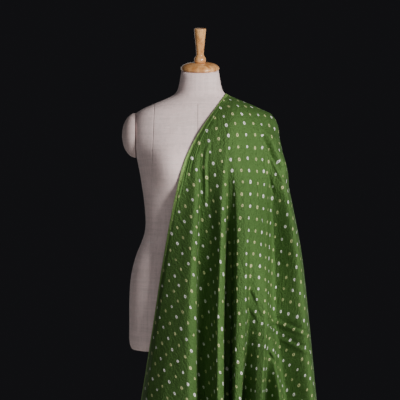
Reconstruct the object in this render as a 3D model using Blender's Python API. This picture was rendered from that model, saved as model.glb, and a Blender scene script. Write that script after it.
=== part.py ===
"""A tie-dyed cloth thrown over one shoulder of a dress form that stands on a turned wooden stand.

Metres, +Z up. The form faces -Y and the cloth lies over the shoulder at +X.
The origin is on the floor, under the middle of the stand's foot.
"""

import math

import bmesh
import bpy
import numpy as np
from mathutils import Matrix, Vector
from mathutils.bvhtree import BVHTree

# The cut length of cloth: its outer selvedges are CLOTH_WIDTH apart, and it hangs over the
# shoulder at the middle of CLOTH_LENGTH.
CLOTH_WIDTH = 0.90
CLOTH_LENGTH = 1.90
CLOTH_THICK = 0.0018
CLOTH_GAP = 0.0034
HANG = 0.965

# Heights at which the folds are laid out.
CHEST = 1.325
BUST = 1.235
WAIST = 1.080
HIP = 0.920
LOW = 0.740

# The line along the top of the shoulder on which the cloth lies, from the neck to the arm.
SHOULDER_X = (0.0637, 0.0800, 0.1000, 0.1250, 0.1500, 0.1692)
SHOULDER_Z = (1.4652, 1.4573, 1.4487, 1.4385, 1.4272, 1.4180)

# The dress form.
FORM_FLOOR = 0.840
NECK_TOP = 1.5215
NECK_TILT = math.radians(14)
NECK_LEAN_FROM = 1.430
NECK_FORWARD = 0.014
ARMHOLE_X = 0.1574
ARMHOLE_FLOOR = 1.290
SECTION_POWER = 2.3
SECTION_SIDES = 36
BUST_HEIGHT = 1.285
BUST_APART = 0.080
BUST_FULLNESS = 0.036
BUST_SPREAD_X = 0.047
BUST_SPREAD_Z = 0.055
ARM_CAP = (0.0340, 0.0520, 0.0550)
ARM_HEIGHT = 1.3630
FIT = 0.0004

# Turned wood, measured along the axis from the neck's top face or from the floor.
CAP_RADIUS = 0.0475
TURN_STEPS = 24
POLE_RADIUS = 0.0160
FOOT_RADIUS = 0.1950
FOOT_THICK = 0.0240
FLANGE_RADIUS = 0.0420
FLANGE_THICK = 0.0180

# Sections of the form, from the floor board up: height, half width, front depth, back depth.
SECTIONS = (
    ("height", "half", "front", "back"),
    (0.8400, 0.1690, 0.1010, 0.1130),
    (0.8470, 0.1735, 0.1050, 0.1170),
    (0.8840, 0.1747, 0.1070, 0.1190),
    (0.9580, 0.1747, 0.1080, 0.1200),
    (1.0072, 0.1722, 0.1050, 0.1150),
    (1.0458, 0.1646, 0.1000, 0.1060),
    (1.0721, 0.1572, 0.0950, 0.0970),
    (1.0967, 0.1459, 0.0900, 0.0880),
    (1.1204, 0.1365, 0.0870, 0.0820),
    (1.1450, 0.1336, 0.0860, 0.0790),
    (1.1750, 0.1355, 0.0880, 0.0800),
    (1.2052, 0.1385, 0.0930, 0.0840),
    (1.2434, 0.1442, 0.0990, 0.0900),
    (1.2803, 0.1500, 0.1020, 0.0970),
    (1.3073, 0.1565, 0.1020, 0.1010),
    (1.3300, 0.1690, 0.1000, 0.1030),
    (1.3640, 0.1720, 0.0950, 0.1010),
    (1.4000, 0.1680, 0.0880, 0.0940),
    (1.4170, 0.1600, 0.0820, 0.0890),
    (1.4260, 0.1456, 0.0780, 0.0850),
    (1.4372, 0.1205, 0.0720, 0.0790),
    (1.4473, 0.0955, 0.0660, 0.0730),
    (1.4583, 0.0704, 0.0600, 0.0660),
    (1.4650, 0.0600, 0.0565, 0.0610),
    (1.4775, 0.0530, 0.0525, 0.0550),
    (1.4950, 0.0498, 0.0495, 0.0505),
    (1.5215, 0.0457, 0.0457, 0.0457),
)

# Folds of the cloth, from the front edge round the arm to the back edge. bearing is the
# direction in the flat cloth in which the fold runs from the neck, 0 along the front edge and
# 90 straight across. The x columns say how far to the side it hangs at each height.
FOLDS = (
    ("name", "bearing", "x_top", "x_chest", "x_bust", "x_waist", "x_hip", "x_low"),
    ("front_edge", 0, 0.0637, -0.0260, -0.0540, -0.0850, -0.1100, -0.1390),
    ("edge_panel", 5, 0.0650, -0.0185, -0.0450, -0.0740, -0.0985, -0.1260),
    ("left_panel", 11, 0.0670, -0.0115, -0.0320, -0.0520, -0.0690, -0.0880),
    ("ridge_1", 17, 0.0700, -0.0055, -0.0120, -0.0190, -0.0260, -0.0270),
    ("ridge_1_edge", 19, 0.0710, -0.0010, -0.0035, -0.0075, -0.0085, -0.0090),
    ("valley_1", 23, 0.0730, 0.0030, 0.0015, -0.0040, -0.0050, -0.0050),
    ("slope_2", 26, 0.0780, 0.0280, 0.0250, 0.0250, 0.0240, 0.0240),
    ("ridge_2", 30, 0.0840, 0.0590, 0.0520, 0.0470, 0.0410, 0.0400),
    ("ridge_2_edge", 32, 0.0860, 0.0640, 0.0615, 0.0580, 0.0550, 0.0540),
    ("valley_2", 36, 0.0880, 0.0680, 0.0665, 0.0630, 0.0590, 0.0580),
    ("slope_3", 38, 0.0910, 0.0760, 0.0760, 0.0760, 0.0730, 0.0700),
    ("ridge_3", 42, 0.0960, 0.0860, 0.0860, 0.0865, 0.0840, 0.0790),
    ("ridge_3_edge", 45, 0.1040, 0.1010, 0.1040, 0.1065, 0.1040, 0.0950),
    ("valley_3", 49, 0.1100, 0.1090, 0.1150, 0.1180, 0.1130, 0.1000),
    ("slope_4", 51, 0.1160, 0.1180, 0.1260, 0.1300, 0.1350, 0.1290),
    ("ridge_4", 54, 0.1230, 0.1270, 0.1370, 0.1420, 0.1510, 0.1440),
    ("valley_4", 58, 0.1300, 0.1360, 0.1480, 0.1520, 0.1590, 0.1560),
    ("ridge_5", 64, 0.1380, 0.1480, 0.1580, 0.1610, 0.1720, 0.1900),
    ("valley_5", 71, 0.1480, 0.1610, 0.1690, 0.1770, 0.1900, 0.2080),
    ("ridge_6", 79, 0.1580, 0.1800, 0.2040, 0.2300, 0.2450, 0.2610),
    ("arm_front", 85, 0.1660, 0.1960, 0.2150, 0.2440, 0.2600, 0.2770),
    ("arm_side", 90, 0.1692, 0.2020, 0.2190, 0.2500, 0.2690, 0.2860),
    ("back_ridge_1", 97, 0.1660, 0.1960, 0.2080, 0.2400, 0.2570, 0.2760),
    ("back_valley_1", 104, 0.1550, 0.1760, 0.1820, 0.1980, 0.2085, 0.2200),
    ("back_ridge_2", 112, 0.1420, 0.1520, 0.1620, 0.1860, 0.1990, 0.2140),
    ("back_valley_2", 120, 0.1300, 0.1260, 0.1330, 0.1420, 0.1475, 0.1540),
    ("back_ridge_3", 128, 0.1180, 0.1020, 0.1090, 0.1180, 0.1245, 0.1320),
    ("back_valley_3", 136, 0.1050, 0.0790, 0.0820, 0.0800, 0.0790, 0.0780),
    ("back_ridge_4", 143, 0.0930, 0.0560, 0.0570, 0.0560, 0.0570, 0.0580),
    ("back_valley_4", 151, 0.0830, 0.0340, 0.0310, 0.0210, 0.0135, 0.0050),
    ("back_ridge_5", 159, 0.0750, 0.0140, 0.0050, -0.0070, -0.0140, -0.0220),
    ("back_valley_5", 168, 0.0680, -0.0030, -0.0180, -0.0420, -0.0580, -0.0760),
    ("back_ridge_6", 175, 0.0650, -0.0130, -0.0330, -0.0640, -0.0855, -0.1100),
    ("back_edge", 180, 0.0637, -0.0220, -0.0460, -0.0810, -0.1065, -0.1350),
)

# How far in front of the form's middle the same folds hang at each height, or behind it.
FOLD_DEPTHS = (
    ("name", "ahead_chest", "ahead_bust", "ahead_waist", "ahead_hip", "ahead_low"),
    ("front_edge", 0.106, 0.115, 0.118, 0.112, 0.098),
    ("edge_panel", 0.108, 0.119, 0.131, 0.135, 0.136),
    ("left_panel", 0.111, 0.123, 0.147, 0.163, 0.178),
    ("ridge_1", 0.114, 0.133, 0.169, 0.194, 0.214),
    ("ridge_1_edge", 0.115, 0.131, 0.161, 0.185, 0.205),
    ("valley_1", 0.115, 0.117, 0.119, 0.127, 0.136),
    ("slope_2", 0.121, 0.126, 0.136, 0.149, 0.162),
    ("ridge_2", 0.127, 0.145, 0.172, 0.192, 0.210),
    ("ridge_2_edge", 0.127, 0.142, 0.162, 0.182, 0.200),
    ("valley_2", 0.127, 0.136, 0.119, 0.120, 0.122),
    ("slope_3", 0.126, 0.141, 0.124, 0.124, 0.124),
    ("ridge_3", 0.123, 0.147, 0.162, 0.180, 0.197),
    ("ridge_3_edge", 0.118, 0.146, 0.166, 0.182, 0.196),
    ("valley_3", 0.114, 0.141, 0.151, 0.149, 0.124),
    ("slope_4", 0.110, 0.134, 0.146, 0.162, 0.180),
    ("ridge_4", 0.105, 0.125, 0.134, 0.166, 0.190),
    ("valley_4", 0.099, 0.114, 0.120, 0.158, 0.118),
    ("ridge_5", 0.091, 0.103, 0.106, 0.130, 0.162),
    ("valley_5", 0.079, 0.078, 0.070, 0.102, 0.110),
    ("ridge_6", 0.063, 0.088, 0.112, 0.142, 0.156),
    ("arm_front", 0.030, 0.036, 0.052, 0.072, 0.086),
    ("arm_side", -0.008, -0.012, -0.024, -0.030, -0.034),
    ("back_ridge_1", -0.046, -0.058, -0.080, -0.097, -0.116),
    ("back_valley_1", -0.070, -0.080, -0.084, -0.084, -0.084),
    ("back_ridge_2", -0.086, -0.101, -0.134, -0.161, -0.192),
    ("back_valley_2", -0.097, -0.110, -0.118, -0.115, -0.112),
    ("back_ridge_3", -0.103, -0.117, -0.154, -0.183, -0.216),
    ("back_valley_3", -0.106, -0.117, -0.126, -0.125, -0.124),
    ("back_ridge_4", -0.109, -0.119, -0.152, -0.178, -0.208),
    ("back_valley_4", -0.110, -0.119, -0.128, -0.128, -0.127),
    ("back_ridge_5", -0.110, -0.119, -0.152, -0.179, -0.210),
    ("back_valley_5", -0.109, -0.117, -0.130, -0.132, -0.134),
    ("back_ridge_6", -0.108, -0.115, -0.134, -0.150, -0.168),
    ("back_edge", -0.107, -0.112, -0.122, -0.128, -0.134),
)

# Slanting creases of the front, from one end to the other: a rounded ridge with a sharper
# trough on the side that turn points to.
CREASES = (
    ("x_from", "z_from", "x_to", "z_to", "wide", "high", "turn"),
    (0.140, 1.366, 0.214, 1.230, 0.014, 0.009, 1),
    (0.160, 0.895, 0.250, 0.870, 0.016, 0.007, -1),
    (0.160, 0.870, 0.240, 0.810, 0.016, 0.007, -1),
)

# How finely the cloth's sheet is divided.
STEPS_PER_FOLD = 2
LIFT_ROUNDS = 12
ROWS_SHOULDER = 8
ROWS_CHEST = 4
ROWS_WAIST = 4
ROWS_SKIRT = 7

LINEN = ("linen", (0.62, 0.54, 0.52), 0.85, 0.0)
WOOD = ("wood", (0.60, 0.34, 0.14), 0.35, 0.0)
CLOTH_GREEN = ("cloth_green", (0.08, 0.22, 0.04), 0.65, 0.0)


def clear_scene():
    for old in list(bpy.data.objects):
        bpy.data.objects.remove(old, do_unlink=True)


def material(look):
    name, colour, roughness, metallic = look
    made = bpy.data.materials.get(name) or bpy.data.materials.new(name)
    made.use_nodes = True
    shader = made.node_tree.nodes["Principled BSDF"]
    shader.inputs["Base Color"].default_value = (*colour, 1.0)
    shader.inputs["Roughness"].default_value = roughness
    shader.inputs["Metallic"].default_value = metallic
    return made


def piece(name, mesh, look):
    """Links a finished mesh as one named object."""
    obj = bpy.data.objects.new(name, mesh)
    bpy.context.scene.collection.objects.link(obj)
    mesh.materials.append(material(look))
    mesh.shade_smooth()
    mesh.set_sharp_from_angle(angle=math.radians(40))
    return obj


def columns(table):
    """A table's columns by name, as arrays."""
    heads = table[0]
    return {
        head: np.array([row[i] for row in table[1:]], float)
        for i, head in enumerate(heads)
        if head != "name"
    }


def eased(knots, values, at):
    """Values on a smooth curve through the knots, which rise. Past the ends it runs on straight."""
    knots = np.asarray(knots, float)
    values = np.asarray(values, float)
    at = np.asarray(at, float)
    slope = np.diff(values) / np.diff(knots)
    tangent = np.concatenate([slope[:1], (slope[:-1] + slope[1:]) / 2, slope[-1:]])
    i = np.clip(np.searchsorted(knots, at) - 1, 0, len(knots) - 2)
    wide = knots[i + 1] - knots[i]
    t = (at - knots[i]) / wide
    inside = np.clip(t, 0, 1)
    h = inside * inside * (3 - 2 * inside)
    curve = (
        values[i] * (1 - h)
        + values[i + 1] * h
        + wide * tangent[i] * inside * (1 - inside) ** 2
        - wide * tangent[i + 1] * inside**2 * (1 - inside)
    )
    before = np.minimum(at - knots[0], 0) * tangent[0]
    after = np.maximum(at - knots[-1], 0) * tangent[-1]
    return curve + before + after


BODY = columns(SECTIONS)


def body_size(z):
    """Half width, front depth and back depth of the form at a height."""
    return [eased(BODY["height"], BODY[side], z) for side in ("half", "front", "back")]


def bust(x, z):
    """How far the bust stands out in front of the plain section."""
    across = (np.abs(x) - BUST_APART) / BUST_SPREAD_X
    up = (z - BUST_HEIGHT) / BUST_SPREAD_Z
    return BUST_FULLNESS * np.exp(-(across**2) - up**2)


def body_ahead(x, z, gap):
    """How far the form's front and back reach from its middle plane at a side place and height."""
    half, front, back = body_size(z)
    share = np.clip(np.abs(x) / (half + gap), 0, 1)
    fall = (1 - share**SECTION_POWER) ** (1 / SECTION_POWER)
    return (front + gap) * fall + bust(x, z) * fall, (back + gap) * fall


def ring_faces(rings, sides):
    """Quads between rings of points that follow each other."""
    return [
        (
            r * sides + s,
            r * sides + (s + 1) % sides,
            (r + 1) * sides + (s + 1) % sides,
            (r + 1) * sides + s,
        )
        for r in range(rings - 1)
        for s in range(sides)
    ]


def neck_pose(x, y, z):
    """Leans the neck forward and tilts its top face, growing from the neck's root."""
    rise = np.clip((z - NECK_LEAN_FROM) / (NECK_TOP - NECK_LEAN_FROM), 0, 1)
    share = rise * rise * (3 - 2 * rise)
    return x, y - NECK_FORWARD * share, z + math.tan(NECK_TILT) * y * share


def torso():
    """The linen-covered form: stacked sections with flat armholes and a tilted neck."""
    heights = BODY["height"]
    between = (heights[:-1] + heights[1:]) / 2
    wide = np.diff(heights) > 0.034
    levels = np.sort(np.concatenate([heights, between[wide]]))
    angle = np.arange(SECTION_SIDES) * 2 * math.pi / SECTION_SIDES
    power = 2 / SECTION_POWER
    cos, sin = np.cos(angle), np.sin(angle)
    unit_x = np.sign(cos) * np.abs(cos) ** power
    unit_y = np.sign(sin) * np.abs(sin) ** power
    points = []
    for z in levels:
        half, front, back = (float(size) for size in body_size(z))
        x = half * unit_x
        y = np.where(unit_y < 0, front * unit_y, back * unit_y)
        y = y + np.where(unit_y < 0, bust(x, z) * unit_y, 0)
        if z > ARMHOLE_FLOOR:
            x = np.clip(x, -ARMHOLE_X, ARMHOLE_X)
        points.extend(np.stack(neck_pose(x, y, np.full_like(x, z)), axis=1).tolist())
    faces = ring_faces(len(levels), SECTION_SIDES)
    faces.append(tuple(reversed(range(SECTION_SIDES))))
    last = (len(levels) - 1) * SECTION_SIDES
    faces.append(tuple(range(last, last + SECTION_SIDES)))
    mesh = bpy.data.meshes.new("torso")
    mesh.from_pydata(points, [], faces)
    return piece("torso", mesh, LINEN)


def arm_cap(name, side):
    """The rounded stub that closes an armhole, flat where it meets the form."""
    out, deep, tall = ARM_CAP
    shape = bmesh.new()
    bmesh.ops.create_uvsphere(shape, u_segments=22, v_segments=14, radius=1.0)
    bmesh.ops.rotate(shape, verts=shape.verts, matrix=Matrix.Rotation(math.pi / 2, 3, "Y"))
    cut = bmesh.ops.bisect_plane(
        shape,
        geom=shape.verts[:] + shape.edges[:] + shape.faces[:],
        plane_co=(0, 0, 0),
        plane_no=(-side, 0, 0),
        clear_outer=True,
    )
    rim = [e for e in cut["geom_cut"] if isinstance(e, bmesh.types.BMEdge)]
    bmesh.ops.edgeloop_fill(shape, edges=rim)
    bmesh.ops.scale(shape, verts=shape.verts, vec=(out, deep, tall))
    at = Vector((side * (ARMHOLE_X + FIT), 0, ARM_HEIGHT))
    bmesh.ops.translate(shape, verts=shape.verts, vec=at)
    bmesh.ops.recalc_face_normals(shape, faces=shape.faces)
    mesh = bpy.data.meshes.new(name)
    shape.to_mesh(mesh)
    shape.free()
    return piece(name, mesh, LINEN)


def turned(name, profile, look):
    """A piece turned round its own Z axis from (radius, height) points that run bottom to top."""
    shape = bmesh.new()
    spots = [shape.verts.new((radius, 0, height)) for radius, height in profile]
    lines = [shape.edges.new(pair) for pair in zip(spots, spots[1:])]
    bmesh.ops.spin(
        shape,
        geom=spots + lines,
        cent=(0, 0, 0),
        axis=(0, 0, 1),
        angle=2 * math.pi,
        steps=TURN_STEPS,
        use_merge=True,
    )
    bmesh.ops.remove_doubles(shape, verts=shape.verts, dist=1e-5)
    bmesh.ops.recalc_face_normals(shape, faces=shape.faces)
    mesh = bpy.data.meshes.new(name)
    shape.to_mesh(mesh)
    shape.free()
    return piece(name, mesh, look)


def neck_fittings():
    """The turned cap and its handle, square to the tilted top of the neck."""
    seat = bpy.data.objects.new("neck_seat", None)
    bpy.context.scene.collection.objects.link(seat)
    seat.location = (0, -NECK_FORWARD, NECK_TOP + FIT)
    seat.rotation_euler = (NECK_TILT, 0, 0)
    cap = turned(
        "neck_cap",
        (
            (0, 0),
            (CAP_RADIUS - 0.004, 0),
            (CAP_RADIUS - 0.001, 0.0018),
            (CAP_RADIUS, 0.0048),
            (CAP_RADIUS - 0.0025, 0.0095),
            (CAP_RADIUS - 0.0100, 0.0143),
            (CAP_RADIUS - 0.0220, 0.0174),
            (0.0150, 0.0185),
            (0, 0.0185),
        ),
        WOOD,
    )
    handle = turned(
        "neck_handle",
        (
            (0, 0),
            (0.0125, 0),
            (0.0142, 0.0030),
            (0.0146, 0.0070),
            (0.0135, 0.0110),
            (0.0110, 0.0150),
            (0.0092, 0.0175),
            (0.0095, 0.0290),
            (0.0112, 0.0470),
            (0.0132, 0.0660),
            (0.0144, 0.0780),
            (0.0146, 0.0812),
            (0.0138, 0.0825),
            (0, 0.0825),
        ),
        WOOD,
    )
    cap.parent = seat
    handle.parent = seat
    handle.location = (0, 0, 0.0185 + FIT)


def stand():
    """The plain stand that the form is pushed on: a round foot, a pole and a flange."""
    turned(
        "stand_foot",
        (
            (0, 0),
            (FOOT_RADIUS - 0.004, 0),
            (FOOT_RADIUS, 0.0040),
            (FOOT_RADIUS, FOOT_THICK - 0.0100),
            (FOOT_RADIUS - 0.0080, FOOT_THICK),
            (0.0600, FOOT_THICK + 0.0040),
            (0.0380, FOOT_THICK + 0.0100),
            (0.0300, FOOT_THICK + 0.0200),
            (0, FOOT_THICK + 0.0200),
        ),
        WOOD,
    )
    foot_top = FOOT_THICK + 0.0200 + FIT
    flange_floor = FORM_FLOOR - FIT - FLANGE_THICK
    pole_top = flange_floor - FIT
    turned(
        "stand_pole",
        (
            (0, foot_top),
            (POLE_RADIUS + 0.0060, foot_top),
            (POLE_RADIUS + 0.0080, foot_top + 0.0100),
            (POLE_RADIUS + 0.0060, foot_top + 0.0200),
            (POLE_RADIUS, foot_top + 0.0300),
            (POLE_RADIUS - 0.0020, foot_top + 0.3600),
            (POLE_RADIUS, pole_top - 0.0300),
            (POLE_RADIUS + 0.0040, pole_top - 0.0150),
            (POLE_RADIUS + 0.0040, pole_top),
            (0, pole_top),
        ),
        WOOD,
    )
    turned(
        "stand_flange",
        (
            (0, flange_floor),
            (FLANGE_RADIUS - 0.0120, flange_floor),
            (FLANGE_RADIUS, flange_floor + 0.0100),
            (FLANGE_RADIUS, flange_floor + FLANGE_THICK),
            (0, flange_floor + FLANGE_THICK),
        ),
        WOOD,
    )


def fold_lines(steps):
    """The folds' columns, resampled into equal numbers of columns for the front and the back."""
    rows = columns(FOLDS) | columns(FOLD_DEPTHS)
    arm = int(np.argmin(np.abs(rows["bearing"] - 90)))
    low = np.stack([rows["x_low"], rows["ahead_low"]], axis=1)
    reach = np.sqrt(np.linalg.norm(np.diff(low, axis=0), axis=1))
    along = np.concatenate([[0], np.cumsum(reach)])
    count = arm * steps
    front = np.interp(np.arange(count + 1) / steps, np.arange(arm + 1), along[: arm + 1])
    back = np.linspace(along[arm], along[-1], count + 1)
    at = np.concatenate([front, back[1:]])
    lines = {head: eased(along, values, at) for head, values in rows.items()}
    top = np.interp(front, along[: arm + 1], rows["x_top"][: arm + 1])
    lines["x_top"] = np.concatenate([top, top[-2::-1]])
    return lines, count


def crease_height(x, z):
    """How far the slanting creases lift the cloth off its folds at places of the front."""
    lift = np.zeros_like(x)
    for x_from, z_from, x_to, z_to, wide, high, turn in CREASES[1:]:
        run = np.array([x_to - x_from, z_to - z_from])
        length = np.linalg.norm(run)
        run = run / length
        along = ((x - x_from) * run[0] + (z - z_from) * run[1]) / length
        across = turn * ((x - x_from) * -run[1] + (z - z_from) * run[0]) / wide
        fade = np.clip(along * (1 - along) * 4, 0, 1) ** 0.7
        ridge = np.exp(-(across**2))
        trough = 0.8 * np.exp(-((across - 1.3) ** 2) * 1.6)
        lift += high * fade * (ridge - trough)
    return lift


def hang_point(line, share, below):
    """One row of the cloth: share runs to 1 at the chest, and below counts rows from there."""
    top_z = eased(SHOULDER_X, SHOULDER_Z, line["x_top"])
    bearing = np.radians(line["bearing"])
    across, along = np.abs(np.sin(bearing)), np.abs(np.cos(bearing))
    cut = np.minimum(
        CLOTH_WIDTH / np.maximum(across, 1e-6),
        CLOTH_LENGTH / 2 / np.maximum(along, 1e-6),
    )
    hem = SHOULDER_Z[0] - HANG * cut
    front = line["bearing"] <= 90
    if below <= 0:
        z = top_z - (top_z - CHEST) * share**2
        round_x = line["x_top"] + (line["x_chest"] - line["x_top"]) * share
        straight_x = down_line(line, "x", z, top_z)
        x = straight_x * along + round_x * (1 - along)
        body = body_ahead(x, z, CLOTH_GAP)
        reach = line["ahead_chest"] * np.sin(share * math.pi / 2)
        ahead = np.where(front, np.maximum(body[0], reach), np.minimum(-body[1], reach))
        return x, -ahead - np.where(line["bearing"] < 84, crease_height(x, z), 0), z
    z = depth_to_height(below, hem)
    x = down_line(line, "x", z, top_z)
    ahead = down_line(line, "ahead", z, top_z)
    body = body_ahead(x, z, CLOTH_GAP)
    on_body = (z > FORM_FLOOR - 0.01) & (np.abs(x) < body_size(z)[0] + CLOTH_GAP)
    ahead = np.where(front & on_body, np.maximum(ahead, body[0]), ahead)
    ahead = np.where(~front & on_body, np.minimum(ahead, -body[1]), ahead)
    faces_front = front & (line["bearing"] < 84)
    ahead = ahead + np.where(faces_front, crease_height(x, z), 0)
    return x, -ahead, z


def down_line(line, side, z, top_z):
    """Where each fold lies at its own height z: the x side or the ahead side."""
    levels = ("low", "hip", "waist", "bust", "chest", "top")
    stops = np.stack([line[side + "_" + level] for level in levels], axis=1)
    knots = [(LOW, HIP, WAIST, BUST, CHEST, top) for top in top_z]
    return np.array([eased(k, v, at) for k, v, at in zip(knots, stops, z)])


def depth_to_height(below, hem):
    """Heights of a row that lies between the chest and the hem."""
    if below <= ROWS_CHEST:
        return np.full_like(hem, CHEST + (BUST - CHEST) * below / ROWS_CHEST)
    below -= ROWS_CHEST
    if below <= ROWS_WAIST:
        return np.full_like(hem, BUST + (WAIST - BUST) * below / ROWS_WAIST)
    return WAIST + (hem - WAIST) * (below - ROWS_WAIST) / ROWS_SKIRT


def form_surface(parts):
    """The outside of the form and its arm caps, to measure distances from."""
    shape = bmesh.new()
    for part in parts:
        shape.from_mesh(part.data)
    joint = [f for f in shape.faces if all(abs(v.co.x - ARMHOLE_X) <= 2 * FIT for v in f.verts)]
    bmesh.ops.delete(shape, geom=joint, context="FACES_ONLY")
    bmesh.ops.triangulate(shape, faces=shape.faces)
    surface = BVHTree.FromBMesh(shape)
    shape.free()
    return surface


def lift_off(surface, points, faces):
    """Moves the cloth's points outward until points and the middles of faces stand off the form."""
    spots = [Vector(point) for point in points]
    for _ in range(LIFT_ROUNDS):
        moved = False
        for face in [(i,) for i in range(len(spots))] + faces:
            middle = sum((spots[i] for i in face), Vector()) / len(face)
            near, normal, _, far = surface.find_nearest(middle)
            depth = (middle - near).dot(normal)
            lack = CLOTH_GAP - (far if depth > 0 else -far)
            if lack > 0.0001:
                out = (middle - near).normalized() if depth > 0 else normal
                for i in face:
                    spots[i] += out * lack
                moved = True
        if not moved:
            break
    return [tuple(spot) for spot in spots]


def draped_cloth(surface):
    """The cloth as one sheet, its front and back halves joined along the shoulder."""
    line, half = fold_lines(STEPS_PER_FOLD)
    line["ahead_top"] = np.zeros_like(line["x_top"])
    rows = [hang_point(line, i / ROWS_SHOULDER, 0) for i in range(1, ROWS_SHOULDER + 1)]
    below = ROWS_CHEST + ROWS_WAIST + ROWS_SKIRT
    rows += [hang_point(line, 1, i) for i in range(1, below + 1)]
    top = line["x_top"][: half + 1]
    ridge = np.stack([top, np.zeros_like(top), eased(SHOULDER_X, SHOULDER_Z, top)], axis=1)
    points = ridge.tolist()
    for row in rows:
        points.extend(np.stack(row, axis=1).tolist())
    across = 2 * half + 1

    def spot(row, column):
        if row == 0:
            return min(column, 2 * half - column)
        return half + 1 + (row - 1) * across + column

    faces = []
    for row in range(len(rows)):
        for column in range(2 * half):
            loop = (
                spot(row, column),
                spot(row + 1, column),
                spot(row + 1, column + 1),
                spot(row, column + 1),
            )
            faces.append(tuple(dict.fromkeys(loop)))
    points = lift_off(surface, points, faces)
    mesh = bpy.data.meshes.new("cloth")
    mesh.from_pydata(points, [], faces)
    cloth = piece("cloth", mesh, CLOTH_GREEN)
    wall = cloth.modifiers.new("thickness", "SOLIDIFY")
    wall.thickness = CLOTH_THICK
    wall.offset = 0
    return cloth


clear_scene()
form = torso()
bare_arm = arm_cap("arm_cap_bare", -1)
hidden_arm = arm_cap("arm_cap_under_cloth", 1)
neck_fittings()
stand()
draped_cloth(form_surface((form, hidden_arm)))
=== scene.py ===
import math

import bmesh
import bpy
import numpy as np
from mathutils import Matrix, Vector
from mathutils.bvhtree import BVHTree


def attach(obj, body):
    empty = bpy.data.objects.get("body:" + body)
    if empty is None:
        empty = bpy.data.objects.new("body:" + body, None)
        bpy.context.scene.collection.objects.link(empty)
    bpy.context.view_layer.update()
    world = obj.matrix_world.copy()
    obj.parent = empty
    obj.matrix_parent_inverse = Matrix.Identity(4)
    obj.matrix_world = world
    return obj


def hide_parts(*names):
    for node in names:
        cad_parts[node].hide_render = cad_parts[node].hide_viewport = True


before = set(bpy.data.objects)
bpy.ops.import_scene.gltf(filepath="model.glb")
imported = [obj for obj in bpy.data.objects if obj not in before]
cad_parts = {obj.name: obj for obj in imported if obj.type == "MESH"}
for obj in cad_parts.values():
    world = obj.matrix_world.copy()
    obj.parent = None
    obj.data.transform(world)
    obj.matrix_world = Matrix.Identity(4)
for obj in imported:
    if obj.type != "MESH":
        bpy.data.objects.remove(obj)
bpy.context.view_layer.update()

# The camera stands a little below the height of the bust and looks slightly down. PIXEL is what
# one point of the photo covers in the form's middle plane.
CAMERA_AWAY = 3.1
CAMERA_HEIGHT = 1.2533
PHOTO_POINTS = 400
PIXEL = 0.00246
CENTRE_DROP = 20 * PIXEL

# The studio. Each light has its place, size, power and colour.
LIGHTS = (
    ("key", (1.95, -2.25, 2.00), 1.0, 140.0, (1.0, 0.96, 0.92)),
    ("fill", (-1.7, -2.7, 1.7), 2.2, 13.0, (1.0, 0.96, 0.95)),
    ("front", (0.1, -3.3, 1.1), 1.2, 6.0, (1.0, 0.98, 0.96)),
    ("behind_left", (-1.3, 3.1, 1.5), 2.8, 12.0, (1.0, 0.97, 0.93)),
    ("behind_right", (1.6, 3.1, 1.3), 2.8, 6.0, (0.95, 0.97, 1.0)),
)
LIGHT_AIM = (0.05, 0, 1.15)
BACKDROP = (0.0080, 0.0080, 0.0092, 1)
FLOOR_RADIUS = 1.6
FLOOR_HEIGHT = -0.002
FLOOR_PAINT = (0.62, 0.61, 0.59)

# The cut length of cloth. HANG is the share of a fold's length by which it hangs down, and the
# cloth stays OFF_FORM away from the form.
CLOTH_WIDTH = 0.90
CLOTH_LENGTH = 1.90
HANG = 0.965
OFF_FORM = 0.0030

# The heights at which the folds' places are given, and the shoulder line that the cloth lies on.
CHEST = 1.325
BUST = 1.235
WAIST = 1.080
HIP = 0.920
LOW = 0.740
SHOULDER_X = (0.0637, 0.0800, 0.1000, 0.1250, 0.1500, 0.1692)
SHOULDER_Z = (1.4652, 1.4573, 1.4487, 1.4385, 1.4272, 1.4180)

# The tied dots lie in an even grid that slants across the flat cloth, each a little off its place.
# White and pale dots alternate by column as far as MIDDLE_LINE across the cloth, and by row past it.
DOT_DOWN = 0.029
DOT_SIDE = 0.022
DOT_SLANT = math.radians(45)
DOT_TALL = 0.0081
DOT_BROAD = 0.0053
DOT_LOOSE_DOWN = 0.12
DOT_LOOSE_SIDE = 0.16
MIDDLE_LINE = CLOTH_WIDTH / 2

# The selvedge strip, from the cloth's long edge to where it has faded out.
SELVEDGE_WIDE = 0.0060
SELVEDGE_FADED = 0.0085

# Colours of the cloth, the linen and the wood.
PLAIN_GREEN = (0.08, 0.2, 0.04)
GREEN = (0.069, 0.150, 0.038)
LIGHT_GREEN = (0.088, 0.183, 0.048)
DEEP_GREEN = (0.046, 0.098, 0.024)
HALO_GREEN = (0.13, 0.23, 0.07)
SELVEDGE_GREEN = (0.22, 0.38, 0.11)
KNOT_GREEN = (0.05, 0.10, 0.025)
DOT_WHITE = (0.98, 0.98, 0.96)
DOT_PALE = (0.60, 0.64, 0.33)
PLAIN_LINEN = (0.6, 0.52, 0.5)
LINEN = (0.80, 0.635, 0.630)
LIGHT_LINEN = (0.90, 0.735, 0.735)
STREAK_LINEN = (0.50, 0.41, 0.40)
THREAD_LINEN = (0.52, 0.44, 0.42)
SLUB_LINEN = (0.86, 0.81, 0.79)
# Painted shade: the dark tone mixed into the pads' linen, as the pads stand in less light.
PAINTED_SHADE_LINEN = (0.30, 0.22, 0.19)
SEAM_BROWN = (0.20, 0.16, 0.15)
LIGHT_WOOD = (0.80, 0.45, 0.19)
DARK_WOOD = (0.50, 0.22, 0.07)
PORE_BROWN = (0.20, 0.08, 0.02)

# The form's seams: how far to the side the upright ones are, and how high the neck's one is.
SIDE_SEAM = 0.112
SIDE_SEAM_HEIGHT = 1.38
SIDE_SEAM_BEND = 0.03
MIDDLE_SEAM = -0.006
NECK_SEAM = 1.4205
NECK_SEAM_LEAN = 0.22

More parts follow.
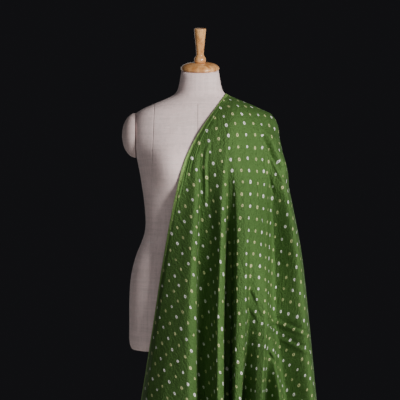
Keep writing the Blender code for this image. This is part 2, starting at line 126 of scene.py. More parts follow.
# The form, as far as the cloth has to know it.
SECTION_POWER = 2.3
BUST_HEIGHT = 1.285
BUST_APART = 0.080
BUST_FULLNESS = 0.036
BUST_SPREAD_X = 0.047
BUST_SPREAD_Z = 0.055
FORM_FLOOR = 0.840
NECK_TOP = 1.5215
NECK_TILT = math.radians(14)
NECK_FORWARD = 0.014

# The stubs at the armholes reach this far out, forward and up. The bare one is less deep than its
# solid, so that it meets the form's side.
ARMHOLE_X = 0.1574
ARM_CAP = (0.0340, 0.0520, 0.0550)
BARE_CAP = (0.0340, 0.0472, 0.0550)
ARM_HEIGHT = 1.3630

# Gaps between pieces that meet.
FIT = 0.0004
PAD_GAP = 0.0001

# How crisp the folds are, from 0 for round to 1 for sharp. Some are rounder than the rest.
CRISP = 0.6
ROUNDED = {
    "ridge_1": 0.2,
    "ridge_2": 0.1,
    "slope_3": 0.3,
    "ridge_3": 0.3,
    "ridge_5": 0.2,
    "ridge_6": 0.0,
    "arm_front": 0.0,
}

# The change of slope is softened over SOFT_MEETING where the cloth leaves the form. Near the
# chest's height each pass moves a point CHEST_SHARE of the way to the middle of its neighbours.
SOFT_MEETING = 0.006
CHEST_NEAR = 0.035
CHEST_PASSES = 14
CHEST_SHARE = 0.6

SECTIONS = (
    ("height", "half", "front", "back"),
    (0.8400, 0.1690, 0.1010, 0.1130),
    (0.8470, 0.1735, 0.1050, 0.1170),
    (0.8840, 0.1747, 0.1070, 0.1190),
    (0.9580, 0.1747, 0.1080, 0.1200),
    (1.0072, 0.1722, 0.1050, 0.1150),
    (1.0458, 0.1646, 0.1000, 0.1060),
    (1.0721, 0.1572, 0.0950, 0.0970),
    (1.0967, 0.1459, 0.0900, 0.0880),
    (1.1204, 0.1365, 0.0870, 0.0820),
    (1.1450, 0.1336, 0.0860, 0.0790),
    (1.1750, 0.1355, 0.0880, 0.0800),
    (1.2052, 0.1385, 0.0930, 0.0840),
    (1.2434, 0.1442, 0.0990, 0.0900),
    (1.2803, 0.1500, 0.1020, 0.0970),
    (1.3073, 0.1565, 0.1020, 0.1010),
    (1.3300, 0.1690, 0.1000, 0.1030),
    (1.3640, 0.1720, 0.0950, 0.1010),
    (1.4000, 0.1680, 0.0880, 0.0940),
    (1.4170, 0.1600, 0.0820, 0.0890),
    (1.4260, 0.1456, 0.0780, 0.0850),
    (1.4372, 0.1205, 0.0720, 0.0790),
    (1.4473, 0.0955, 0.0660, 0.0730),
    (1.4583, 0.0704, 0.0600, 0.0660),
    (1.4650, 0.0600, 0.0565, 0.0610),
    (1.4775, 0.0530, 0.0525, 0.0550),
    (1.4950, 0.0498, 0.0495, 0.0505),
    (1.5215, 0.0457, 0.0457, 0.0457),
)

# Folds of the cloth, from the front edge round the arm to the back edge. bearing is the
# direction in the flat cloth in which the fold runs from the neck, 0 along the front edge and
# 90 straight across. The x columns say how far to the side it hangs at each height.
FOLDS = (
    ("name", "bearing", "x_top", "x_chest", "x_bust", "x_waist", "x_hip", "x_low"),
    ("front_edge", 0, 0.0637, -0.0260, -0.0540, -0.0850, -0.1100, -0.1390),
    ("edge_panel", 5, 0.0650, -0.0185, -0.0450, -0.0740, -0.0985, -0.1260),
    ("left_panel", 11, 0.0670, -0.0115, -0.0320, -0.0520, -0.0690, -0.0880),
    ("ridge_1", 17, 0.0700, -0.0055, -0.0120, -0.0190, -0.0260, -0.0270),
    ("ridge_1_edge", 19, 0.0710, -0.0010, -0.0035, -0.0075, -0.0085, -0.0090),
    ("valley_1", 23, 0.0730, 0.0030, 0.0015, -0.0040, -0.0050, -0.0050),
    ("slope_2", 26, 0.0780, 0.0280, 0.0250, 0.0250, 0.0240, 0.0240),
    ("ridge_2", 30, 0.0840, 0.0590, 0.0520, 0.0470, 0.0410, 0.0400),
    ("ridge_2_edge", 32, 0.0860, 0.0640, 0.0615, 0.0580, 0.0550, 0.0540),
    ("valley_2", 36, 0.0880, 0.0680, 0.0665, 0.0630, 0.0590, 0.0580),
    ("slope_3", 38, 0.0910, 0.0760, 0.0760, 0.0760, 0.0730, 0.0700),
    ("ridge_3", 42, 0.0960, 0.0860, 0.0860, 0.0865, 0.0840, 0.0790),
    ("ridge_3_edge", 45, 0.1040, 0.1010, 0.1040, 0.1065, 0.1040, 0.0950),
    ("valley_3", 49, 0.1100, 0.1090, 0.1150, 0.1180, 0.1130, 0.1000),
    ("slope_4", 51, 0.1160, 0.1180, 0.1260, 0.1300, 0.1350, 0.1290),
    ("ridge_4", 54, 0.1230, 0.1270, 0.1370, 0.1420, 0.1510, 0.1440),
    ("valley_4", 58, 0.1300, 0.1360, 0.1480, 0.1520, 0.1590, 0.1560),
    ("ridge_5", 64, 0.1380, 0.1480, 0.1580, 0.1610, 0.1670, 0.1880),
    ("valley_5", 71, 0.1480, 0.1610, 0.1690, 0.1770, 0.1800, 0.2020),
    ("ridge_6", 79, 0.1580, 0.1800, 0.2040, 0.2300, 0.2450, 0.2610),
    ("arm_front", 85, 0.1660, 0.1960, 0.2150, 0.2440, 0.2600, 0.2770),
    ("arm_side", 90, 0.1692, 0.2020, 0.2190, 0.2500, 0.2690, 0.2860),
    ("back_ridge_1", 97, 0.1660, 0.1960, 0.2080, 0.2400, 0.2570, 0.2760),
    ("back_valley_1", 104, 0.1550, 0.1760, 0.1820, 0.1980, 0.2085, 0.2200),
    ("back_ridge_2", 112, 0.1420, 0.1520, 0.1620, 0.1860, 0.1990, 0.2140),
    ("back_valley_2", 120, 0.1300, 0.1260, 0.1330, 0.1420, 0.1475, 0.1540),
    ("back_ridge_3", 128, 0.1180, 0.1020, 0.1090, 0.1180, 0.1245, 0.1320),
    ("back_valley_3", 136, 0.1050, 0.0790, 0.0820, 0.0800, 0.0790, 0.0780),
    ("back_ridge_4", 143, 0.0930, 0.0560, 0.0570, 0.0560, 0.0570, 0.0580),
    ("back_valley_4", 151, 0.0830, 0.0340, 0.0310, 0.0210, 0.0135, 0.0050),
    ("back_ridge_5", 159, 0.0750, 0.0140, 0.0050, -0.0070, -0.0140, -0.0220),
    ("back_valley_5", 168, 0.0680, -0.0030, -0.0180, -0.0420, -0.0580, -0.0760),
    ("back_ridge_6", 175, 0.0650, -0.0130, -0.0330, -0.0640, -0.0855, -0.1100),
    ("back_edge", 180, 0.0637, -0.0220, -0.0460, -0.0810, -0.1065, -0.1350),
)

# How far in front of the form's middle the same folds hang at each height, or behind it.
FOLD_DEPTHS = (
    ("name", "ahead_chest", "ahead_bust", "ahead_waist", "ahead_hip", "ahead_low"),
    ("front_edge", 0.106, 0.115, 0.118, 0.112, 0.098),
    ("edge_panel", 0.108, 0.119, 0.131, 0.135, 0.136),
    ("left_panel", 0.111, 0.123, 0.147, 0.163, 0.178),
    ("ridge_1", 0.114, 0.133, 0.169, 0.194, 0.214),
    ("ridge_1_edge", 0.115, 0.131, 0.161, 0.185, 0.205),
    ("valley_1", 0.115, 0.117, 0.119, 0.127, 0.136),
    ("slope_2", 0.121, 0.126, 0.136, 0.149, 0.162),
    ("ridge_2", 0.127, 0.145, 0.172, 0.192, 0.210),
    ("ridge_2_edge", 0.127, 0.142, 0.162, 0.182, 0.200),
    ("valley_2", 0.127, 0.136, 0.119, 0.120, 0.122),
    ("slope_3", 0.126, 0.141, 0.124, 0.124, 0.124),
    ("ridge_3", 0.123, 0.147, 0.162, 0.180, 0.197),
    ("ridge_3_edge", 0.118, 0.146, 0.166, 0.182, 0.196),
    ("valley_3", 0.114, 0.141, 0.151, 0.149, 0.124),
    ("slope_4", 0.110, 0.134, 0.146, 0.162, 0.180),
    ("ridge_4", 0.105, 0.125, 0.134, 0.166, 0.190),
    ("valley_4", 0.099, 0.114, 0.120, 0.158, 0.118),
    ("ridge_5", 0.091, 0.103, 0.106, 0.132, 0.160),
    ("valley_5", 0.079, 0.078, 0.070, 0.104, 0.110),
    ("ridge_6", 0.063, 0.088, 0.112, 0.142, 0.156),
    ("arm_front", 0.030, 0.036, 0.052, 0.072, 0.086),
    ("arm_side", -0.008, -0.012, -0.024, -0.030, -0.034),
    ("back_ridge_1", -0.046, -0.058, -0.080, -0.097, -0.116),
    ("back_valley_1", -0.070, -0.080, -0.084, -0.084, -0.084),
    ("back_ridge_2", -0.086, -0.101, -0.134, -0.161, -0.192),
    ("back_valley_2", -0.097, -0.110, -0.118, -0.115, -0.112),
    ("back_ridge_3", -0.103, -0.117, -0.154, -0.183, -0.216),
    ("back_valley_3", -0.106, -0.117, -0.126, -0.125, -0.124),
    ("back_ridge_4", -0.109, -0.119, -0.152, -0.178, -0.208),
    ("back_valley_4", -0.110, -0.119, -0.128, -0.128, -0.127),
    ("back_ridge_5", -0.110, -0.119, -0.152, -0.179, -0.210),
    ("back_valley_5", -0.109, -0.117, -0.130, -0.132, -0.134),
    ("back_ridge_6", -0.108, -0.115, -0.134, -0.150, -0.168),
    ("back_edge", -0.107, -0.112, -0.122, -0.128, -0.134),
)

# Creases of the front, each a soft ridge from one end to the other with a sharper trough on
# the side that turn points to, and past the trough a swell. Sizes in metres.
CREASES = (
    ("x_from", "z_from", "x_to", "z_to", "wide", "high", "turn", "swell"),
    (0.1330, 1.3760, 0.1630, 1.3200, 0.0034, 0.0046, 1, 0.0040),
    (0.1370, 1.3640, 0.2080, 1.2340, 0.0036, 0.0068, 1, 0.0120),
    (0.1730, 1.3580, 0.1860, 1.3370, 0.0040, 0.0040, 1, 0.0000),
    (0.1460, 1.2960, 0.1710, 1.2120, 0.0045, 0.0040, 1, 0.0030),
    (0.1414, 1.1650, 0.1535, 1.1320, 0.0032, 0.0026, 1, 0.0000),
    (0.1095, 1.1500, 0.1225, 1.1050, 0.0032, 0.0026, 1, 0.0000),
    (0.0840, 1.0620, 0.0975, 1.0380, 0.0032, 0.0026, 1, 0.0000),
    (0.1100, 1.2300, 0.1200, 1.1880, 0.0032, 0.0016, 1, 0.0000),
    (0.1310, 1.2540, 0.1360, 1.2050, 0.0032, 0.0016, 1, 0.0000),
    (0.1080, 1.0140, 0.1530, 0.9490, 0.0038, 0.0018, -1, 0.0000),
    (0.1200, 0.9980, 0.1500, 0.9300, 0.0036, 0.0017, -1, 0.0000),
    (0.1070, 0.9700, 0.1400, 0.9200, 0.0036, 0.0020, -1, 0.0000),
    (0.1480, 0.9190, 0.1920, 0.9150, 0.0034, 0.0034, 1, 0.0000),
    (0.1740, 0.9200, 0.2660, 0.8850, 0.0044, 0.0052, 1, 0.0000),
    (0.1500, 0.9130, 0.1960, 0.8870, 0.0034, 0.0036, 1, 0.0000),
    (0.1900, 0.8800, 0.2660, 0.8440, 0.0042, 0.0048, 1, 0.0000),
    (0.1560, 0.8620, 0.1940, 0.8130, 0.0038, 0.0034, -1, 0.0000),
    (0.1600, 0.8950, 0.1790, 0.8660, 0.0032, 0.0026, -1, 0.0000),
    (-0.0300, 0.8860, -0.0140, 0.9010, 0.0032, 0.0024, -1, 0.0000),
    (-0.0315, 0.7760, -0.0200, 0.7880, 0.0032, 0.0024, -1, 0.0000),
    (0.0410, 0.8750, 0.0530, 0.8930, 0.0032, 0.0024, -1, 0.0000),
    (0.0410, 0.8200, 0.0530, 0.8330, 0.0032, 0.0024, -1, 0.0000),
    (0.0830, 0.8720, 0.0980, 0.8890, 0.0032, 0.0024, -1, 0.0000),
)

# Past a crease's ridge come its trough and its swell. Their places are in widths of the crease.
CREASE_FADE = 0.6
TROUGH_AT = 1.4
TROUGH_DEEP = 0.9
TROUGH_SHARP = 1.4
SWELL_FROM = 1.3
SWELL_RISE = 2.4
SWELL_FALL = 5

# Narrow pleats that run down the upper part of the cloth, on the front and the back alike. fold
# says between which of the folds above each one lies, 0 at the edge.
PLEATS = (
    ("fold", "wide", "high", "z_from", "z_to"),
    (0.95, 0.16, 0.0020, 1.462, 1.180),
    (1.45, 0.16, 0.0032, 1.460, 1.250),
    (1.95, 0.18, 0.0032, 1.458, 1.270),
    (2.50, 0.20, 0.0030, 1.450, 1.300),
    (5.55, 0.13, 0.0040, 1.345, 1.190),
    (4.45, 0.20, 0.0024, 1.440, 1.310),
)

# The pleats' own fade and trough. They have no swell.
PLEAT_FADE = 0.7
PLEAT_TROUGH_AT = 1.5
PLEAT_TROUGH_DEEP = 0.6
PLEAT_TROUGH_SHARP = 1.5

# How finely the cloth is divided. Every FLAT_STEP-th row is used to lay it out flat.
COLUMNS_PER_FOLD = 10
ROWS = (("shoulder", 26), ("chest", 15), ("waist", 26), ("skirt", 118))
FLAT_STEP = 4
TURN_STEPS = 64
SAME_PLACE = 1e-6

# Half outlines of the turned pieces, each point a radius and a height.
CAP_TALL = 0.0185
CAP_PROFILE = (
    (0, 0),
    (0.0435, 0),
    (0.0465, 0.0018),
    (0.0475, 0.0048),
    (0.0450, 0.0095),
    (0.0375, 0.0143),
    (0.0255, 0.0174),
    (0.0150, CAP_TALL),
    (0, CAP_TALL),
)
HANDLE_PROFILE = (
    (0, 0),
    (0.0125, 0),
    (0.0142, 0.0030),
    (0.0146, 0.0070),
    (0.0135, 0.0110),
    (0.0110, 0.0150),
    (0.0092, 0.0175),
    (0.0095, 0.0290),
    (0.0112, 0.0470),
    (0.0132, 0.0660),
    (0.0144, 0.0780),
    (0.0146, 0.0812),
    (0.0138, 0.0825),
    (0, 0.0825),
)
FOOT_PROFILE = (
    (0, 0),
    (0.1910, 0),
    (0.1950, 0.0040),
    (0.1950, 0.0140),
    (0.1870, 0.0240),
    (0.0600, 0.0280),
    (0.0380, 0.0340),
    (0.0300, 0.0440),
    (0, 0.0440),
)
POLE_PROFILE = (
    (0, 0.0444),
    (0.0220, 0.0444),
    (0.0240, 0.0544),
    (0.0220, 0.0644),
    (0.0160, 0.0744),
    (0.0140, 0.4044),
    (0.0160, 0.7912),
    (0.0200, 0.8062),
    (0.0200, 0.8212),
    (0, 0.8212),
)
FLANGE_PROFILE = (
    (0, 0.8216),
    (0.0300, 0.8216),
    (0.0420, 0.8316),
    (0.0420, 0.8396),
    (0, 0.8396),
)


def clear_selection():
    for piece in bpy.context.selected_objects:
        piece.select_set(False)


def active(piece):
    clear_selection()
    bpy.context.view_layer.objects.active = piece
    piece.select_set(True)


def studio():
    """The camera, the soft lights and the pale floor."""
    camera = bpy.data.cameras.new("camera")
    camera.lens = camera.sensor_width * CAMERA_AWAY / PIXEL / PHOTO_POINTS
    tripod = bpy.data.objects.new("camera", camera)
    bpy.context.scene.collection.objects.link(tripod)
    tripod.location = (0, -CAMERA_AWAY, CAMERA_HEIGHT)
    tripod.rotation_euler = (math.pi / 2 - math.atan(CENTRE_DROP / CAMERA_AWAY), 0, 0)
    bpy.context.scene.camera = tripod
    for name, place, size, power, colour in LIGHTS:
        lamp = bpy.data.lights.new(name, "AREA")
        lamp.size = size
        lamp.energy = power
        lamp.color = colour
        holder = bpy.data.objects.new(name, lamp)
        bpy.context.scene.collection.objects.link(holder)
        holder.location = place
        aim = Vector(LIGHT_AIM) - Vector(place)
        holder.rotation_euler = aim.to_track_quat("-Z", "Y").to_euler()
    world = bpy.data.worlds.new("studio")
    world.use_nodes = True
    world.node_tree.nodes["Background"].inputs["Color"].default_value = BACKDROP
    bpy.context.scene.world = world
    clear_selection()
    bpy.ops.mesh.primitive_circle_add(
        vertices=96, radius=FLOOR_RADIUS, fill_type="NGON", location=(0, 0, FLOOR_HEIGHT)
    )
    floor = bpy.context.object
    floor.name = "studio_floor"
    floor.data.materials.append(Shade("floor_paint", FLOOR_PAINT, 0.8).material)


class Shade:
    """A material whose nodes are added one by one."""

    def __init__(self, name, colour, roughness):
        self.material = bpy.data.materials.new(name)
        self.material.use_nodes = True
        self.nodes = self.material.node_tree.nodes
        self.links = self.material.node_tree.links
        self.shader = self.nodes["Principled BSDF"]
        self.shader.inputs["Base Color"].default_value = (*colour, 1)
        self.shader.inputs["Roughness"].default_value = roughness

    def feed(self, slot, value):
        """Links a node's result to an input, or gives the input a plain value."""
        if isinstance(value, bpy.types.NodeSocket):
            self.links.new(value, slot)
        else:
            slot.default_value = value

    def add(self, kind, settings=(), **inputs):
        """A new node. Its inputs are given by name, or by number as in0, in1 and so on."""
        node = self.nodes.new("ShaderNode" + kind)
        for key, value in dict(settings).items():
            setattr(node, key, value)
        for key, value in inputs.items():
            numbered = key.startswith("in") and key[2:].isdigit()
            self.feed(node.inputs[int(key[2:]) if numbered else key], value)
        return node

    def math(self, operation, first, second=0.0, third=0.0):
        return self.add("Math", {"operation": operation}, in0=first, in1=second, in2=third).outputs[0]

    def invert(self, value):
        """One less the value."""
        return self.math("SUBTRACT", 1.0, value)

    def mean(self, one, other):
        return self.math("ADD", self.math("MULTIPLY", one, 0.5), self.math("MULTIPLY", other, 0.5))

    def blend(self, share, one, other):
        """Mixes two colours."""
        node = self.add("Mix", {"data_type": "RGBA"}, in0=share)
        for slot, value in ((node.inputs[6], one), (node.inputs[7], other)):
            plain = not isinstance(value, bpy.types.NodeSocket)
            self.feed(slot, (*value, 1) if plain else value)
        return node.outputs[2]

    def tint(self, where, strength, colour, tone):
        """The colour with a tone mixed in at some places."""
        return self.blend(self.math("MULTIPLY", where, strength), colour, tone)

    def step(self, value, low, high):
        """0 below low, 1 above high, and smooth between."""
        node = self.add("MapRange", {"interpolation_type": "SMOOTHSTEP"}, in0=value, in1=low, in2=high)
        return node.outputs[0]

    def noise(self, where, scale, detail=3.0, rough=0.5):
        node = self.add("TexNoise", in0=where)
        node.inputs["Scale"].default_value = scale
        node.inputs["Detail"].default_value = detail
        node.inputs["Roughness"].default_value = rough
        return node.outputs[0]

    def object_place(self):
        return self.add("TexCoord").outputs["Object"]

    def uv_place(self, name):
        return self.add("UVMap", {"uv_map": name}).outputs[0]

    def stretched(self, where, scale):
        node = self.add("Mapping", in0=where)
        node.inputs["Scale"].default_value = scale
        return node.outputs[0]

    def turned(self, where, axis, angle):
        node = self.add("VectorRotate", {"rotation_type": axis + "_AXIS"}, Vector=where, Angle=angle)
        return node.outputs[0]

    def finish(self, colour, height, depth, roughness=None):
        """Joins the colour, the bump and any roughness to the shader."""
        self.links.new(colour, self.shader.inputs["Base Color"])
        if roughness is not None:
            self.links.new(roughness, self.shader.inputs["Roughness"])
        bump = self.add("Bump", Height=height)
        bump.inputs["Distance"].default_value = depth
        self.links.new(bump.outputs[0], self.shader.inputs["Normal"])
        return self.material


def off_knot(shade, at, knot, chance, loose):
    """How far a place lies from its knot, which is itself tied a little off the grid."""
    drift = shade.math("SUBTRACT", chance, 0.5)
    return shade.math("MULTIPLY_ADD", drift, loose, shade.math("SUBTRACT", at, knot))


def tied_dots(shade, flat):
    """How far each place lies from the middle of its dot, 1 at the rim, and the dot's colour."""
    grid = shade.add("SeparateXYZ", in0=shade.uv_place("grid"))
    down, side = grid.outputs[0], grid.outputs[1]
    row = shade.math("ROUND", down)
    column = shade.math("ROUND", side)
    knot = shade.add("CombineXYZ", in0=row, in1=column).outputs[0]
    chance = shade.add("TexWhiteNoise", {"noise_dimensions": "3D"}, in0=knot)
    chance_row, chance_column, chance_size = shade.add("SeparateXYZ", in0=chance.outputs["Color"]).outputs
    off_row = off_knot(shade, down, row, chance_row, DOT_LOOSE_DOWN)
    off_column = off_knot(shade, side, column, chance_column, DOT_LOOSE_SIDE)
    tall = shade.math("DIVIDE", shade.math("MULTIPLY", off_row, DOT_DOWN), DOT_TALL / 2)
    broad = shade.math("DIVIDE", shade.math("MULTIPLY", off_column, DOT_SIDE), DOT_BROAD / 2)
    reach = shade.add("CombineXYZ", in0=tall, in1=broad).outputs[0]
    far = shade.add("VectorMath", {"operation": "LENGTH"}, in0=reach).outputs["Value"]
    ragged = shade.math("SUBTRACT", shade.noise(flat, 420, 2), 0.5)
    far = shade.math("ADD", far, shade.math("MULTIPLY", ragged, 0.9))
    far = shade.math("MULTIPLY", far, shade.math("MULTIPLY_ADD", chance_size, 0.35, 0.85))
    across = shade.add("SeparateXYZ", in0=flat).outputs[0]
    far_half = shade.math("GREATER_THAN", across, MIDDLE_LINE)
    by_column = shade.math("MODULO", shade.math("ABSOLUTE", column), 2.0)
    by_row = shade.math("MODULO", shade.math("ABSOLUTE", row), 2.0)
    pale_rows = shade.math("MULTIPLY", by_row, far_half)
    pale_columns = shade.math("MULTIPLY", by_column, shade.invert(far_half))
    return far, shade.blend(shade.math("ADD", pale_rows, pale_columns), DOT_WHITE, DOT_PALE)


def bandhani_look():
    """Green cloth with tied dots on a slanting grid, all in the flat cloth's own sizes."""
    shade = Shade("bandhani_cloth", PLAIN_GREEN, 0.60)
    flat = shade.uv_place("flat")
    far, dot = tied_dots(shade, flat)
    ring = shade.invert(shade.step(far, 0.75, 1.15))
    centre = shade.invert(shade.step(far, 0.20, 0.42))
    halo = shade.invert(shade.step(far, 1.0, 2.1))
    from_edge = shade.add("SeparateXYZ", in0=shade.uv_place("edges")).outputs[0]
    strip = shade.invert(shade.step(from_edge, SELVEDGE_WIDE, SELVEDGE_FADED))
    off_strip = shade.invert(strip)
    broad_tone = shade.noise(flat, 5, 3)
    fine_tone = shade.noise(flat, 90, 4, 0.6)
    colour = shade.blend(shade.step(broad_tone, 0.3, 0.7), GREEN, LIGHT_GREEN)
    colour = shade.tint(fine_tone, 0.35, colour, DEEP_GREEN)
    colour = shade.tint(halo, 0.22, colour, HALO_GREEN)
    colour = shade.tint(strip, 0.95, colour, SELVEDGE_GREEN)
    colour = shade.tint(ring, off_strip, colour, dot)
    colour = shade.tint(centre, off_strip, colour, KNOT_GREEN)
    slanting = shade.turned(flat, "Z", math.radians(45))
    crumple = shade.noise(shade.stretched(slanting, (170, 60, 1)), 1.0, 4, 0.6)
    crepe = shade.noise(flat, 260, 3, 0.6)
    raised = shade.math("MULTIPLY", ring, 0.9)
    dimple = shade.math("MULTIPLY", centre, 0.7)
    height = shade.math("SUBTRACT", raised, dimple)
    height = shade.math("MULTIPLY_ADD", crumple, 3.4, height)
    height = shade.math("MULTIPLY_ADD", crepe, 3.2, height)
    height = shade.math("MULTIPLY_ADD", strip, 0.6, height)
    shade.shader.inputs["Metallic"].default_value = 0.42
    shade.shader.inputs["Specular IOR Level"].default_value = 0.18
    return shade.finish(colour, height, 0.0009)


def linen_look(name, strength):
    """Pinkish grey linen with its weave, its seams and an uneven tone. Below strength 1 it is darkened
    with painted shade.
    """
    shade = Shade(name, PLAIN_LINEN, 0.9)
    place = shade.object_place()
    upright = shade.noise(shade.stretched(place, (900, 900, 60)), 1.0, 2)
    level = shade.noise(shade.stretched(place, (70, 70, 1100)), 1.0, 2)
    warp = shade.noise(shade.stretched(place, (130, 130, 6)), 1.0, 3, 0.6)
    weft = shade.noise(shade.stretched(place, (8, 8, 140)), 1.0, 3, 0.6)
    slub = shade.noise(shade.stretched(place, (30, 30, 420)), 1.0, 3)
    tone = shade.noise(place, 7, 4, 0.6)
    threads = shade.mean(upright, level)
    streaks = shade.mean(warp, weft)
    seams = linen_seams(shade, place)
    colour = shade.blend(shade.step(tone, 0.3, 0.72), LINEN, LIGHT_LINEN)
    colour = shade.tint(shade.step(streaks, 0.44, 0.58), 0.30, colour, STREAK_LINEN)
    colour = shade.tint(shade.step(threads, 0.40, 0.62), 0.30, colour, THREAD_LINEN)
    colour = shade.tint(shade.step(slub, 0.56, 0.72), 0.30, colour, SLUB_LINEN)
    colour = shade.tint(seams, 0.34, colour, SEAM_BROWN)
    # Painted shade: below strength 1 the linen is darkened, for pieces that stand in less light.
    colour = shade.blend(1 - strength, colour, PAINTED_SHADE_LINEN)
    raised = shade.math("MULTIPLY", threads, 0.5)
    sunk = shade.math("MULTIPLY", seams, 0.9)
    shade.shader.inputs["Specular IOR Level"].default_value = 0.25
    shade.shader.inputs["Sheen Weight"].default_value = 0.1
    return shade.finish(colour, shade.math("SUBTRACT", raised, sunk), 0.0008)


def linen_seams(shade, place):
    """Upright seams left and right, one down the middle of the front, and a faint one at the neck."""
    x, y, z = shade.add("SeparateXYZ", in0=place).outputs
    apart = shade.math("SUBTRACT", shade.math("ABSOLUTE", x), SIDE_SEAM)
    bend = shade.math("MULTIPLY", shade.math("SUBTRACT", z, SIDE_SEAM_HEIGHT), SIDE_SEAM_BEND)
    upper_part = shade.math("MULTIPLY_ADD", shade.step(z, 1.26, 1.33), 0.75, 0.25)
    side_seam = seam_line(shade, shade.math("ADD", apart, bend), upper_part)
    lean = shade.math("MULTIPLY_ADD", y, NECK_SEAM_LEAN, z)
    front = shade.math("LESS_THAN", y, 0.0)
    below_neck = shade.math("MULTIPLY", front, shade.math("LESS_THAN", lean, NECK_SEAM))
    middle_seam = seam_line(shade, shade.math("SUBTRACT", x, MIDDLE_SEAM), below_neck)
    neck_seam = seam_line(shade, shade.math("SUBTRACT", lean, NECK_SEAM), 0.45)
    return shade.math("MAXIMUM", shade.math("MAXIMUM", middle_seam, side_seam), neck_seam)


def seam_line(shade, off, where):
    """A thin line where off is nought."""
    near = shade.invert(shade.step(shade.math("ABSOLUTE", off), 0.0005, 0.0016))
    return shade.math("MULTIPLY", near, where)


def turned_wood_look(name, roughness, flat_grain=False):
    """Varnished turned wood with its grain upright, or lying along X."""
    shade = Shade(name, LIGHT_WOOD, roughness)
    place = shade.object_place()
    if flat_grain:
        place = shade.turned(place, "Y", math.pi / 2)
    long_grain = shade.noise(shade.stretched(place, (85, 85, 6)), 1.0, 5, 0.6)
    pores = shade.noise(shade.stretched(place, (520, 520, 28)), 1.0, 2, 0.5)
    cloud = shade.noise(place, 16, 3)
    colour = shade.blend(shade.step(long_grain, 0.36, 0.66), LIGHT_WOOD, DARK_WOOD)
    colour = shade.tint(shade.step(pores, 0.58, 0.72), 0.45, colour, PORE_BROWN)
    colour = shade.tint(shade.step(cloud, 0.45, 0.7), 0.30, colour, DARK_WOOD)
    rough = shade.math("MULTIPLY_ADD", pores, 0.18, roughness - 0.06)
    shade.shader.inputs["Coat Weight"].default_value = 0.55
    shade.shader.inputs["Coat Roughness"].default_value = 0.14
    return shade.finish(colour, pores, 0.0002, rough)


def columns(table):
    """A table's columns by name, as arrays."""
    return {
        head: np.array([row[place] for row in table[1:]], float)
        for place, head in enumerate(table[0])
        if head != "name"
    }


def eased(knots, values, at):
    """Values on a smooth curve through the knots, which rise. Past the ends it runs on straight."""
    knots = np.asarray(knots, float)
    values = np.asarray(values, float)
    at = np.asarray(at, float)
    slope = np.diff(values) / np.diff(knots)
    tangent = np.concatenate([slope[:1], (slope[:-1] + slope[1:]) / 2, slope[-1:]])
    span = np.clip(np.searchsorted(knots, at) - 1, 0, len(knots) - 2)
    wide = knots[span + 1] - knots[span]
    share = np.clip((at - knots[span]) / wide, 0, 1)
    ease = share * share * (3 - 2 * share)
    curve = (
        values[span] * (1 - ease)
        + values[span + 1] * ease
        + wide * tangent[span] * share * (1 - share) ** 2
        - wide * tangent[span + 1] * share**2 * (1 - share)
    )
    before = np.minimum(at - knots[0], 0) * tangent[0]
    after = np.maximum(at - knots[-1], 0) * tangent[-1]
    return curve + before + after


BODY = columns(SECTIONS)


def body_ahead(x, z, gap):
    """How far the form reaches in front of its middle plane and behind it."""
    half, front, back = [eased(BODY["height"], BODY[side], z) for side in ("half", "front", "back")]
    share = np.clip(np.abs(x) / (half + gap), 0, 1)
    fall = (1 - share**SECTION_POWER) ** (1 / SECTION_POWER)
    across = (np.abs(x) - BUST_APART) / BUST_SPREAD_X
    up = (z - BUST_HEIGHT) / BUST_SPREAD_Z
    bust = BUST_FULLNESS * np.exp(-(across**2) - up**2)
    return (front + gap) * fall + bust * fall, (back + gap) * fall, half


def fold_lines(steps):
    """The folds' columns, resampled into equal numbers of columns for the front and the back."""
    rows = columns(FOLDS) | columns(FOLD_DEPTHS)
    arm = int(np.argmin(np.abs(rows["bearing"] - 90)))
    low = np.stack([rows["x_low"], rows["ahead_low"]], axis=1)
    reach = np.sqrt(np.linalg.norm(np.diff(low, axis=0), axis=1))
    along = np.concatenate([[0], np.cumsum(reach)])
    count = arm * steps
    front = np.interp(np.arange(count + 1) / steps, np.arange(arm + 1), along[: arm + 1])
    back = np.linspace(along[arm], along[-1], count + 1)
    at = np.concatenate([front, back[1:]])
    crisp = np.interp(at, along, [ROUNDED.get(row[0], CRISP) for row in FOLDS[1:]])
    lines = {
        head: (1 - crisp) * eased(along, values, at) + crisp * np.interp(at, along, values)
        for head, values in rows.items()
    }
    top = np.interp(front, along[: arm + 1], rows["x_top"][: arm + 1])
    lines["x_top"] = np.concatenate([top, top[-2::-1]])
    lines["ahead_top"] = np.zeros_like(lines["x_top"])
    lines["fold"] = np.interp(at, along, np.arange(len(along)))
    return lines


def down_line(line, side, z, top_z):
    """Where each fold lies at its own heights z: the x side or the ahead side."""
    levels = ("low", "hip", "waist", "bust", "chest", "top")
    stops = np.stack([line[side + "_" + level] for level in levels], axis=1)
    places = [
        eased((LOW, HIP, WAIST, BUST, CHEST, top), stop, height)
        for top, stop, height in zip(top_z, stops, z.T)
    ]
    return np.array(places).T


def soft_top(one, other):
    """The greater of two values, with a soft change where they meet."""
    return (one + other + np.sqrt((one - other) ** 2 + SOFT_MEETING**2)) / 2


def row_heights(rows, hem):
    """Heights of all rows below the chest, for each column."""
    chest, waist, skirt = rows
    upper = np.concatenate([
        CHEST + (BUST - CHEST) * np.arange(1, chest + 1) / chest,
        BUST + (WAIST - BUST) * np.arange(1, waist + 1) / waist,
    ])
    share = np.arange(1, skirt + 1) / skirt
    return np.concatenate([
        np.repeat(upper[:, None], len(hem), axis=1),
        WAIST + (hem[None, :] - WAIST) * share[:, None],
    ])


